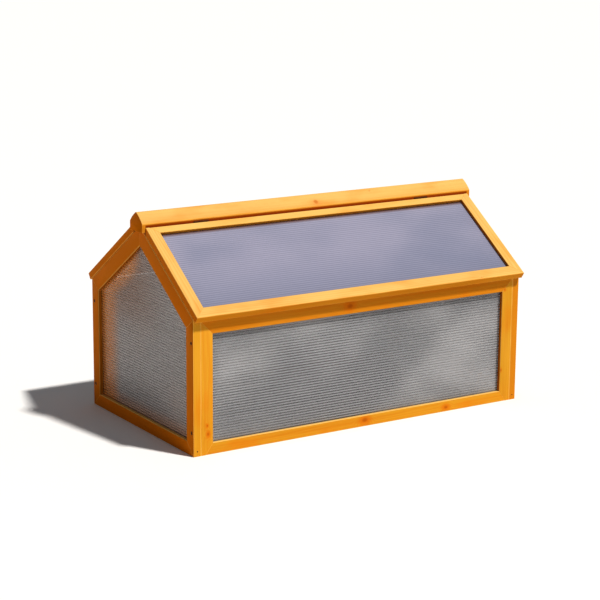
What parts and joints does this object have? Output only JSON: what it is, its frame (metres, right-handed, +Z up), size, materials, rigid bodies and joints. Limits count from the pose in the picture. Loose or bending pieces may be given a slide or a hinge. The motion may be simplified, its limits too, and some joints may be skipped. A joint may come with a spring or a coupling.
{
  "type": "timber cold frame with a gabled roof",
  "caption": "Low gabled cold frame: mitred stained softwood frames glazed with fluted plastic sheet, a solid ridge cap and roof lids hinged along it.",
  "frame": {"origin": "ground level, below the middle of the ridge", "axes": "+X along the ridge to the right gable, +Y to the back wall, +Z up"},
  "size_m": [0.9, 0.518, 0.5],
  "materials": {
    "stained_softwood": "planed softwood under a translucent honey-orange stain, satin",
    "polycarbonate_sheet": "clear fluted twin-wall sheet, slightly milky, glossy skins",
    "steel_fittings": "zinc-plated steel, dulled outdoors"
  },
  "bodies": {
    "frame": {"front_top_rail": "stained_softwood", "front_bottom_rail": "stained_softwood", "front_left_stile": "stained_softwood", "front_right_stile": "stained_softwood", "front_sheet": "polycarbonate_sheet", "back_top_rail": "stained_softwood", "back_bottom_rail": "stained_softwood", "back_left_stile": "stained_softwood", "back_right_stile": "stained_softwood", "back_sheet": "polycarbonate_sheet", "left_gable_bottom_rail": "stained_softwood", "left_gable_front_stile": "stained_softwood", "left_gable_back_stile": "stained_softwood", "left_gable_front_rafter": "stained_softwood", "left_gable_back_rafter": "stained_softwood", "left_gable_sheet": "polycarbonate_sheet", "right_gable_bottom_rail": "stained_softwood", "right_gable_front_stile": "stained_softwood", "right_gable_back_stile": "stained_softwood", "right_gable_front_rafter": "stained_softwood", "right_gable_back_rafter": "stained_softwood", "right_gable_sheet": "polycarbonate_sheet", "left_gable_screws": "steel_fittings", "right_gable_screws": "steel_fittings", "ridge_cap": "stained_softwood", "front_hinge_cap_leaves": "steel_fittings", "front_hinge_pins": "steel_fittings", "back_hinge_cap_leaves": "steel_fittings", "back_hinge_pins": "steel_fittings"},
    "front_lid": {"front_lid_top_rail": "stained_softwood", "front_lid_bottom_rail": "stained_softwood", "front_lid_left_rail": "stained_softwood", "front_lid_right_rail": "stained_softwood", "front_lid_sheet": "polycarbonate_sheet", "front_hinge_lid_leaves": "steel_fittings"},
    "back_lid": {"back_lid_top_rail": "stained_softwood", "back_lid_bottom_rail": "stained_softwood", "back_lid_left_rail": "stained_softwood", "back_lid_right_rail": "stained_softwood", "back_lid_sheet": "polycarbonate_sheet", "back_hinge_lid_leaves": "steel_fittings"}
  },
  "joints": [
    {"name": "front_lid_hinge", "type": "hinge", "parent": "frame", "child": "front_lid", "pos_m": [0, -0.0307, 0.47117], "axis": [-1, 0, 0], "range_deg": [0, 128]},
    {"name": "back_lid_hinge", "type": "hinge", "parent": "frame", "child": "back_lid", "pos_m": [0, 0.0307, 0.47117], "axis": [1, 0, 0], "range_deg": [0, 128]}
  ]
}
